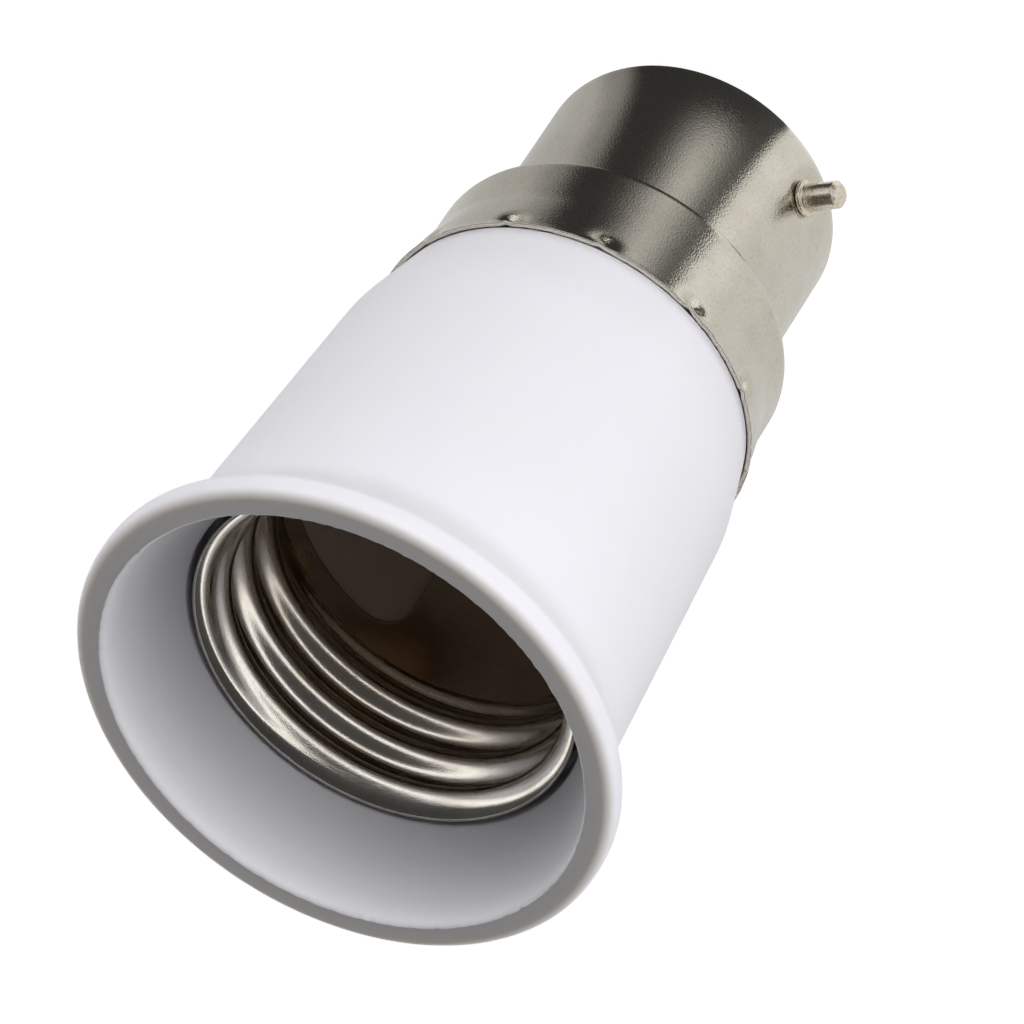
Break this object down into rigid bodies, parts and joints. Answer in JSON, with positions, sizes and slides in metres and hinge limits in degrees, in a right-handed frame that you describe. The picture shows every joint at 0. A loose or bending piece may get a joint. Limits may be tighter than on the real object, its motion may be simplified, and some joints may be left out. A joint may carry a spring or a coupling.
{
  "type": "lamp socket adapter",
  "caption": "Lamp socket adapter: a bayonet cap with side pins at one end and a screw lampholder in a flared white housing at the other.",
  "frame": {"origin": "on the axis, in the plane of the two contact faces that the adapter stands on", "axes": "+Z along the axis from the bayonet cap to the mouth of the screw socket; the bayonet pins lie along Y and the feet of the screw shell along X"},
  "size_m": [0.039, 0.039, 0.0618],
  "materials": {
    "housing_white": "satin moulded",
    "cap_nickel": "matt nickel plate, fine grain",
    "pin_nickel": "nickel plate, warm",
    "shell_nickel": "bright nickel plate",
    "contact_brass": "pressed",
    "leaf_bronze": "spring strip",
    "insulator_black": "moulded",
    "solder_tin": "dull solder",
    "lead_insulation": "insulated wire"
  },
  "bodies": {
    "root": {"body_housing": "housing_white", "bayonet_cap": "cap_nickel", "bayonet_pin_front": "pin_nickel", "bayonet_pin_rear": "pin_nickel", "cap_insulator": "insulator_black", "cap_contact_front": "contact_brass", "cap_contact_rear": "contact_brass", "contact_solder_front": "solder_tin", "contact_solder_rear": "solder_tin", "screw_shell": "shell_nickel", "centre_contact": "leaf_bronze", "leaf_rivet": "contact_brass", "shell_rivet_right": "contact_brass", "shell_rivet_left": "contact_brass", "leaf_tag": "contact_brass", "shell_tag": "contact_brass", "leaf_tag_solder": "solder_tin", "shell_tag_solder": "solder_tin", "lead_leaf": "lead_insulation", "lead_shell": "lead_insulation"}
  },
  "joints": []
}
